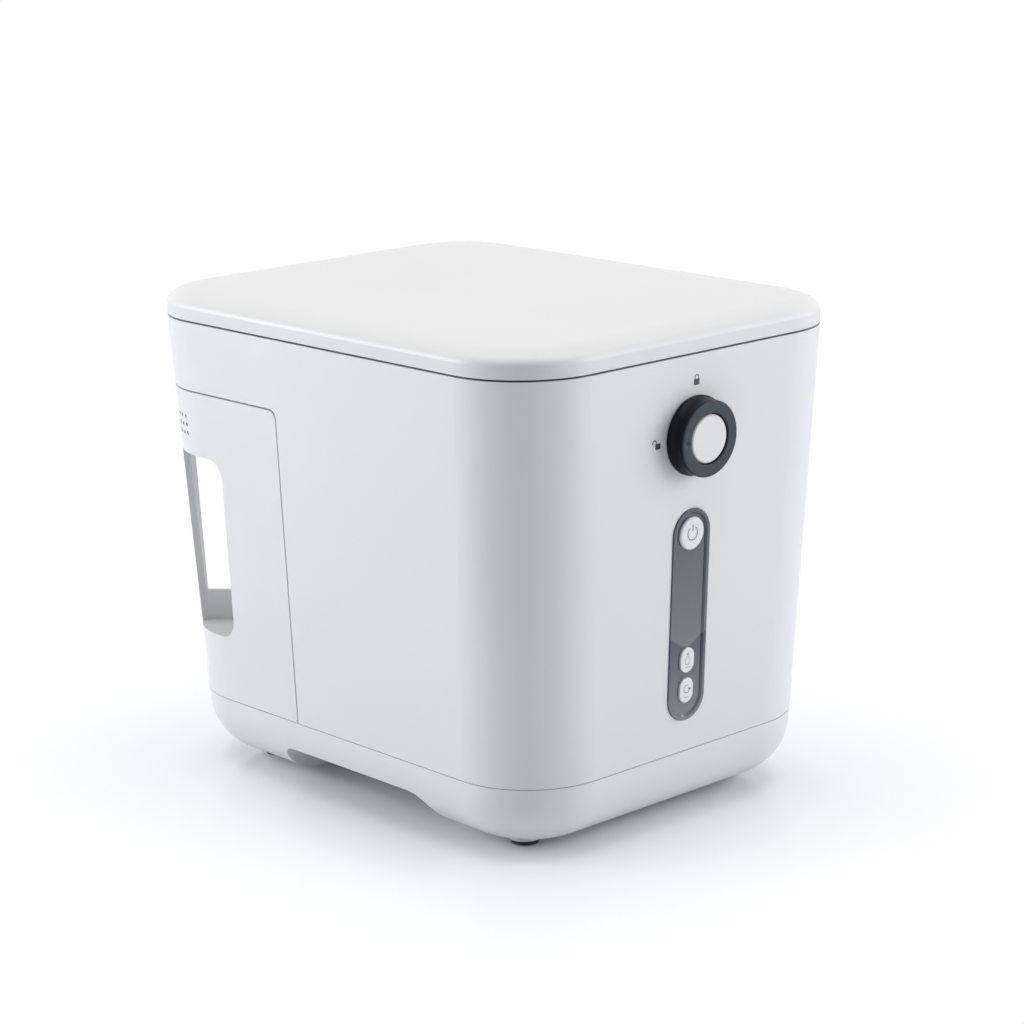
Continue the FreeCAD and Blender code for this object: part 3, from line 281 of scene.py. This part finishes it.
MATERIALS = {
    "shell_white": moulded("shell_white", (0.70, 0.70, 0.702), 0.36, Coat_Weight=0.12, Coat_Roughness=0.25),
    "lid_white": moulded("lid_white", (0.675, 0.675, 0.678), 0.40),
    "liner_grey": moulded("liner_grey", (0.40, 0.41, 0.43), 0.45),
    "deck_grey": moulded("deck_grey", (0.50, 0.51, 0.53), 0.42),
    "black_plastic": moulded("black_plastic", (0.022, 0.022, 0.025), 0.48, grain=0.4, drift=0.05),
    "natural_nylon": moulded("natural_nylon", (0.66, 0.64, 0.56), 0.38, drift=0.03),
    "button_white": moulded("button_white", (0.74, 0.75, 0.77), 0.30, grain=0.12),
    "cap_white": moulded("cap_white", (0.70, 0.705, 0.71), 0.30, grain=0.10, Coat_Weight=0.15),
    "knob_slate": knob_slate("knob_slate"),
    "panel_gloss": panel_gloss("panel_gloss"),
    "rubber_black": rubber("rubber_black", (0.018, 0.018, 0.019)),
    "silicone_grey": rubber("silicone_grey", (0.20, 0.205, 0.215), 0.55),
    "zinc_sheet": brushed("zinc_sheet", (0.60, 0.61, 0.62), 0.34),
    "steel_ground": brushed("steel_ground", (0.64, 0.65, 0.66), 0.24, (1, 1, 20)),
    "steel_blade": brushed("steel_blade", (0.66, 0.66, 0.67), 0.30, (10, 1, 1)),
    "screw_zinc": brushed("screw_zinc", (0.62, 0.63, 0.65), 0.30),
    "aluminium_cast": cast("aluminium_cast", (0.58, 0.59, 0.60), 0.45),
    "bronze": cast("bronze", (0.45, 0.27, 0.12), 0.42),
    "brass": brushed("brass", (0.70, 0.50, 0.20), 0.28),
    "charcoal": cast("charcoal", (0.018, 0.018, 0.018), 0.85, metallic=0.0),
    "non_stick": non_stick("non_stick"),
    "circuit": circuit("circuit"),
    # dark ink for the printed lock icons, also used as painted shade in the screw crosses
    "dark_print_and_painted_shade": rubber("dark_print_and_painted_shade", (0.030, 0.032, 0.038), 0.5),
    "print_grey": rubber("print_grey", (0.13, 0.14, 0.16), 0.5),
    "vent_foam": cast("vent_foam", (0.70, 0.69, 0.66), 0.90, metallic=0.0),
    "plate_silver": brushed("plate_silver", (0.62, 0.63, 0.64), 0.38, (1, 14, 1)),
    "wire_brown": moulded("wire_brown", (0.17, 0.07, 0.03), 0.45),
    "wire_blue": moulded("wire_blue", (0.03, 0.09, 0.36), 0.45),
    "wire_white": moulded("wire_white", (0.62, 0.62, 0.60), 0.45),
    "wire_black": moulded("wire_black", (0.02, 0.02, 0.02), 0.45),
}

FINISH = {
    "shell_white": ["body_shell", "rear_cover", "base_pan"],
    "lid_white": ["lid_cover"],
    "liner_grey": ["lid_liner"],
    "deck_grey": ["deck"],
    "black_plastic": ["gearbox_housing", "gearbox_cover", "blower_housing", "air_duct", "filter_cassette",
                      "power_inlet", "fan_motor", "board_parts", "tact_switches"],
    "natural_nylon": ["knob_bush", "output_gear", "intermediate_gear", "fan_rotor"],
    "button_white": ["power_button", "mode_button", "clean_button"],
    "cap_white": ["knob_cap"],
    "knob_slate": ["knob_ring"],
    "panel_gloss": ["panel_bezel"],
    "rubber_black": ["rubber_feet", "bail_grip"],
    "silicone_grey": ["lid_gasket", "cassette_gasket"],
    "zinc_sheet": ["rear_bulkhead", "floor_frame", "heat_shield", "inlet_bracket", "detent_spring",
                   "lid_keeper", "latch_arm", "motor_can"],
    "steel_ground": ["hinge_pins", "knob_shaft", "drive_shaft", "countershaft_axle", "motor_rotor",
                     "bail_handle", "stirrer_shaft"],
    "steel_blade": ["fixed_blades", "stirrer_blade"],
    "screw_zinc": ["base_screws", "deck_screws", "lid_screws", "gearbox_screws"],
    "aluminium_cast": ["heater_pot", "heater_ring"],
    "bronze": ["bucket_bush", "shaft_bushes"],
    "brass": ["motor_pinion", "thermal_fuse"],
    "charcoal": ["charcoal_filters"],
    "non_stick": ["bucket"],
    "circuit": ["main_board", "control_board"],
}


def dress(node, material):
    mesh = NODES[node].data
    mesh.materials.clear()
    mesh.materials.append(MATERIALS[material])


# ---- mesh helpers --------------------------------------------------------------------------------
def piece(name, mesh, material, body):
    """Link a finished mesh, give it a material and let it ride on a body."""
    obj = bpy.data.objects.new(name, mesh)
    bpy.context.scene.collection.objects.link(obj)
    mesh.materials.append(MATERIALS[material])
    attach(obj, body)
    return obj


def from_faces(name, vertices, faces):
    mesh = bpy.data.meshes.new(name)
    mesh.from_pydata([tuple(v) for v in vertices], [], faces)
    mesh.validate()
    return mesh


def face_frame(up, across=0.0, out=0.0):
    """Matrix from (across, up, outward) on the front face, about the knob's seat, to the row frame."""
    right = Vector((1, 0, 0))
    above = OUTWARD.cross(right)
    turn = Matrix((right, above, OUTWARD)).transposed().to_4x4()
    return Matrix.Translation(FACE_AT_KNOB) @ turn @ Matrix.Translation((across, up, out))


def arc(radius, start, end, steps=24, centre=(0.0, 0.0)):
    angles = [math.radians(start + (end - start) * k / steps) for k in range(steps + 1)]
    return [(centre[0] + radius * math.cos(a), centre[1] + radius * math.sin(a)) for a in angles]


class Print:
    """Flat marks, drawn in mm on a plane, raised by the thickness of the ink."""
    INK = 0.03

    def __init__(self):
        self.vertices = []
        self.faces = []

    def add(self, outline):
        """Filled convex or near-convex outline with a low rim."""
        base = len(self.vertices)
        count = len(outline)
        self.vertices += [(x, y, self.INK) for x, y in outline] + [(x, y, -self.INK) for x, y in outline]
        self.faces.append(list(range(base, base + count)))
        for k in range(count):
            after = (k + 1) % count
            self.faces.append([base + k, base + count + k, base + count + after, base + after])

    def stroke(self, points, width, closed=False):
        """Line of even width through the points, as one strip of quads."""
        count = len(points)
        spans = count if closed else count - 1
        sides = []
        for k, (x, y) in enumerate(points):
            before = points[(k - 1) % count] if closed or k else points[k]
            after = points[(k + 1) % count] if closed or k < count - 1 else points[k]
            along = Vector((after[0] - before[0], after[1] - before[1])).normalized()
            across = Vector((-along.y, along.x)) * width / 2
            sides.append(((x + across.x, y + across.y), (x - across.x, y - across.y)))
        for k in range(spans):
            (a, b), (c, d) = sides[k], sides[(k + 1) % count]
            self.add([a, b, d, c])

    def build(self, name, matrix, material, body):
        places = [matrix @ (Vector(v) * MM) for v in self.vertices]
        return piece(name, from_faces(name, places, self.faces), material, body)


def rounded_bar(x0, x1, y0, y1, radius):
    """Outline of a rounded rectangle."""
    corners = ((x1 - radius, y1 - radius, 0), (x0 + radius, y1 - radius, 90),
               (x0 + radius, y0 + radius, 180), (x1 - radius, y0 + radius, 270))
    points = []
    for x, y, start in corners:
        points += arc(radius, start, start + 90, 5, (x, y))
    return points


def tube(name, points, radius, material, body):
    """Smooth round wire through given points."""
    curve = bpy.data.curves.new(name, "CURVE")
    curve.dimensions = "3D"
    curve.bevel_depth = radius
    curve.bevel_resolution = 2
    curve.use_fill_caps = True
    curve.resolution_u = 10
    spline = curve.splines.new("NURBS")
    spline.points.add(len(points) - 1)
    for target, point in zip(spline.points, points):
        target.co = (*point, 1)
    spline.order_u = 3
    spline.use_endpoint_u = True
    holder = bpy.data.objects.new(name + "_curve", curve)
    mesh = bpy.data.meshes.new_from_object(holder)
    bpy.data.objects.remove(holder)
    for polygon in mesh.polygons:
        polygon.use_smooth = True
    mesh.materials.clear()
    return piece(name, mesh, material, body)


# ---- printed icons -------------------------------------------------------------------------------
KNOB_RING_CENTRE = FACE_AT_KNOB.z


def up_the_face(z):
    """Distance up the drafted face from the knob's seat to height z."""
    return (z - KNOB_RING_CENTRE) / OUTWARD.cross(Vector((1, 0, 0))).z


def lock_icons():
    closed = Print()
    closed.add(rounded_bar(-2.2, 2.2, -2.9, 0.6, 0.5))
    closed.stroke([(-1.35, 0.4)] + arc(1.35, 180, 0, 12, (0, 1.5)) + [(1.35, 0.4)], 0.62)
    closed.build("icon_locked", face_frame(31.6 * MM, 0, 0.05 * MM), "dark_print_and_painted_shade", "housing")
    opened = Print()
    opened.add(rounded_bar(-0.9, 3.1, -2.8, 0.5, 0.5))
    opened.stroke([(-3.0, 0.2)] + arc(1.3, 180, 0, 12, (-1.7, 1.3)) + [(-0.4, 0.2)], 0.62)
    opened.build("icon_unlocked", face_frame(-0.6 * MM, -30.5 * MM, 0.05 * MM), "dark_print_and_painted_shade", "housing")


def key_top(node):
    """Seat for a mark on a button: its middle, on its outer face."""
    low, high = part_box(node)
    middle = (low + high) / 2
    mesh = NODES[node].data
    top = max((vertex.co - FACE_AT_KNOB).dot(OUTWARD) for vertex in mesh.vertices)
    return face_frame(up_the_face(middle.z), 0, top)


def power_icon():
    mark = Print()
    mark.stroke(arc(3.9, 122, 418, 48), 0.55)
    mark.stroke([(0, 1.4), (0, 5.0)], 0.6)
    mark.build("icon_power", key_top("power_button"), "print_grey", "power_key")


def key_icons():
    mode = Print()
    mode.stroke([(-1.6, -2.6), (1.6, -2.6), (1.6, 0.9), (0.7, 2.1), (0.7, 3.3), (-0.7, 3.3), (-0.7, 2.1),
                 (-1.6, 0.9)], 0.35, closed=True)
    mode.stroke([(-1.0, 3.9), (1.0, 3.9)], 0.45)
    mode.stroke([(-1.9, -4.3), (1.9, -4.3)], 0.35)
    mode.build("icon_mode", key_top("mode_button"), "print_grey", "mode_key")
    clean = Print()
    clean.stroke(arc(2.3, 60, 360, 30, (0, 0.6)), 0.4)
    clean.add([(3.4, 0.9), (1.2, 0.9), (2.3, -0.9)][::-1])
    clean.stroke([(-1.9, -4.3), (1.9, -4.3)], 0.35)
    clean.build("icon_clean", key_top("clean_button"), "print_grey", "clean_key")


# ---- studio --------------------------------------------------------------------------------------
def area_light(name, place, aim, size, power):
    data = bpy.data.lights.new(name, "AREA")
    data.shape = "RECTANGLE"
    data.size, data.size_y = size
    data.energy = power
    light = bpy.data.objects.new(name, data)
    bpy.context.scene.collection.objects.link(light)
    light.location = place
    light.rotation_euler = (Vector(aim) - Vector(place)).to_track_quat("-Z", "Y").to_euler()


FLOOR_HALF = 8.0
FOOTPRINT = (0.085, 0.12, 0.0)                       # half sizes of the floor area that does not fade
FADE_REACH = 0.17                                    # distance beyond it at which the floor is plain white


def add_floor():
    """Glossy floor, tinted pale blue as painted bluish shade around the object, that fades to plain white
    away from the object.
    """
    half = FLOOR_HALF
    floor = bpy.data.objects.new("floor", from_faces(
        "floor", [(-half, -half, 0), (half, -half, 0), (half, half, 0), (-half, half, 0)], [[0, 1, 2, 3]]))
    bpy.context.scene.collection.objects.link(floor)
    # painted shade: the pale blue tint shows only near the object, where it turns the real shadow bluish
    gloss = Surface("floor_gloss", (0.89, 0.915, 0.96), 0.08, IOR=1.40)
    ahead = gloss.node("ShaderNodeVectorMath", operation="ABSOLUTE")
    gloss.link(gloss.where, ahead.inputs[0])
    beyond = gloss.node("ShaderNodeVectorMath", operation="SUBTRACT")
    gloss.link(ahead.outputs["Vector"], beyond.inputs[0])
    beyond.inputs[1].default_value = FOOTPRINT
    outside = gloss.node("ShaderNodeVectorMath", operation="MAXIMUM")
    gloss.link(beyond.outputs["Vector"], outside.inputs[0])
    reach = gloss.node("ShaderNodeVectorMath", operation="LENGTH")
    gloss.link(outside.outputs["Vector"], reach.inputs[0])
    rays = gloss.node("ShaderNodeLightPath")
    fade = gloss.node("ShaderNodeMath", operation="MULTIPLY")
    gloss.link(gloss.span(reach.outputs["Value"], 0, 1, 0.0, FADE_REACH), fade.inputs[0])
    gloss.link(rays.outputs["Is Camera Ray"], fade.inputs[1])
    white = gloss.node("ShaderNodeEmission")
    blend = gloss.node("ShaderNodeMixShader")
    gloss.link(fade.outputs[0], blend.inputs[0])
    gloss.link(gloss.shader.outputs[0], blend.inputs[1])
    gloss.link(white.outputs[0], blend.inputs[2])
    gloss.link(blend.outputs[0], gloss.tree.nodes["Material Output"].inputs["Surface"])
    floor.data.materials.append(gloss.material)


FILL_LIGHT = 0.185


def add_world():
    """White to the eye and in reflections, much dimmer as a source of light."""
    world = bpy.data.worlds.new("studio")
    world.use_nodes = True
    tree = world.node_tree
    fill = tree.nodes["Background"]
    fill.inputs["Color"].default_value = (0.96, 0.97, 1.0, 1)
    fill.inputs["Strength"].default_value = FILL_LIGHT
    seen = tree.nodes.new("ShaderNodeBackground")
    seen.inputs["Strength"].default_value = 1.0
    seen.inputs["Color"].default_value = (1, 1, 1, 1)
    rays = tree.nodes.new("ShaderNodeLightPath")
    direct = tree.nodes.new("ShaderNodeMath")
    direct.operation = "MAXIMUM"
    tree.links.new(rays.outputs["Is Camera Ray"], direct.inputs[0])
    tree.links.new(rays.outputs["Is Glossy Ray"], direct.inputs[1])
    blend = tree.nodes.new("ShaderNodeMixShader")
    tree.links.new(direct.outputs[0], blend.inputs[0])
    tree.links.new(fill.outputs[0], blend.inputs[1])
    tree.links.new(seen.outputs[0], blend.inputs[2])
    tree.links.new(blend.outputs[0], tree.nodes["World Output"].inputs["Surface"])
    bpy.context.scene.world = world


def add_studio():
    add_floor()
    add_world()
    area_light("left_softbox", (-2.0, 2.1, 0.9), (0, 0, 0.15), (1.8, 1.6), 60)
    area_light("front_softbox", (2.1, -2.0, 0.9), (0, 0, 0.15), (2.6, 2.0), 62)
    area_light("top_softbox", (0.1, 0.1, 2.4), (0, 0, 0.1), (2.4, 2.4), 44)
    bpy.context.scene.view_settings.view_transform = "Standard"


# ---- trim that rides on the CAD ------------------------------------------------------------------
SHELL_DRAFT = math.tan(math.asin(abs(OUTWARD.z)))
TOP_SEAM = 279.9                                     # mm, where the plan below is measured
CORNER_RADIUS = 52.0
CORNER_CENTRE = (83.0, 118.35)                       # mm from the shell's middle


def spot(x, y, z):
    """Place in the row frame of a point given in mm from the shell's middle."""
    return Vector((x * MM, SHELL_Y + y * MM, z * MM))


def rear_path(inset, z):
    """Line across the rear wall and round both corners, inset mm inside the skin."""
    shrink = SHELL_DRAFT * (TOP_SEAM - z)
    middle_x = CORNER_CENTRE[0] - shrink
    middle_y = CORNER_CENTRE[1] - shrink
    right = [(middle_x + x, middle_y + y) for x, y in arc(CORNER_RADIUS - inset, 8, 90, 20)]
    left = [(-x, y) for x, y in reversed(right)]
    return [spot(x, y, z) for x, y in right + left]


def swept(name, profile, material, body):
    """Closed solid along the rear wall from (inset, z) points."""
    loops = [rear_path(inset, z) for inset, z in profile]
    count = len(loops)
    length = len(loops[0])
    places = [loop[k] for k in range(length) for loop in loops]
    faces = []
    for start in range(0, (length - 1) * count, count):
        for i in range(count):
            after = (i + 1) % count
            faces.append([start + i, start + after, start + count + after, start + count + i])
    faces += [list(range(count))[::-1], [(length - 1) * count + i for i in range(count)]]
    piece(name, from_faces(name, places, faces), material, body)


def block(name, corner, opposite, material, body, soft=1.0):
    """Box with softened edges between two corners in mm from the shell's middle."""
    low, high = spot(*corner), spot(*opposite)
    mesh = bpy.data.meshes.new(name)
    shape = bmesh.new()
    bmesh.ops.create_cube(shape, size=1.0, matrix=Matrix.Translation((low + high) / 2)
                          @ Matrix.Diagonal((*(high - low), 1)))
    bmesh.ops.bevel(shape, geom=shape.edges, offset=soft * MM, segments=3, affect="EDGES", profile=0.5)
    shape.to_mesh(mesh)
    shape.free()
    piece(name, mesh, material, body)


def cross_recesses(name, places, facing, body):
    """Dark crosses painted as shade in the cross recesses of four screw heads, standing a hair above the
    metal.
    """
    marks = Print()
    # painted shade: each cross is a flat dark mark in place of the shade inside a screw's cross recess
    for x, y in places:
        marks.add(rounded_bar(x - 1.7, x + 1.7, y - 0.35, y + 0.35, 0.3))
        marks.add(rounded_bar(x - 0.35, x + 0.35, y - 1.7, y + 1.7, 0.3))
    low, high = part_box(name.replace("_recesses", "s"))
    level = high.z if facing > 0 else low.z
    seat = Matrix.Translation((0, SHELL_Y, level)) @ Matrix.Scale(facing, 4, Vector((0, 0, 1)))
    marks.build(name, seat, "dark_print_and_painted_shade", body)


def mains_wiring():
    """Boot on the inlet and three leads that run to a grommet in the motor box."""
    block("inlet_boot", (34, 120.5, 57.5), (54, 127.9, 76.5), "wire_black", "housing", 2.0)
    block("lead_grommet", (24, 108.05, 66), (40, 110.5, 80), "rubber_black", "housing", 0.8)
    for index, colour in enumerate(("wire_brown", "wire_blue", "wire_white")):
        start = 38 + 6 * index
        finish = 28 + 4 * index
        tube("mains_lead_%d" % (index + 1),
             [spot(start, 120.6, 67), spot(start, 116, 67), spot((start + finish) / 2, 113, 70 - 2 * index),
              spot(finish, 113, 73), spot(finish, 110.3, 73)],
             1.3 * MM, colour, "housing")


def main():
    add_camera()
    for material, nodes in FINISH.items():
        for node in nodes:
            dress(node, material)
    lock_icons()
    power_icon()
    key_icons()
    swept("vent_foam", [(2.75, 206), (2.75, 224), (4.6, 224), (4.6, 206)], "vent_foam", "cover")
    block("rating_plate", (-32, -24, 25.9), (32, 10, 26.42), "plate_silver", "housing", 0.2)
    cross_recesses("deck_screw_recesses", [(x, y) for x in (-124, 124) for y in (-70, 70)], 1, "housing")
    cross_recesses("lid_screw_recesses", [(x, y) for x in (-95, 95) for y in (-120, 120)], -1, "lid")
    mains_wiring()
    add_studio()


main()
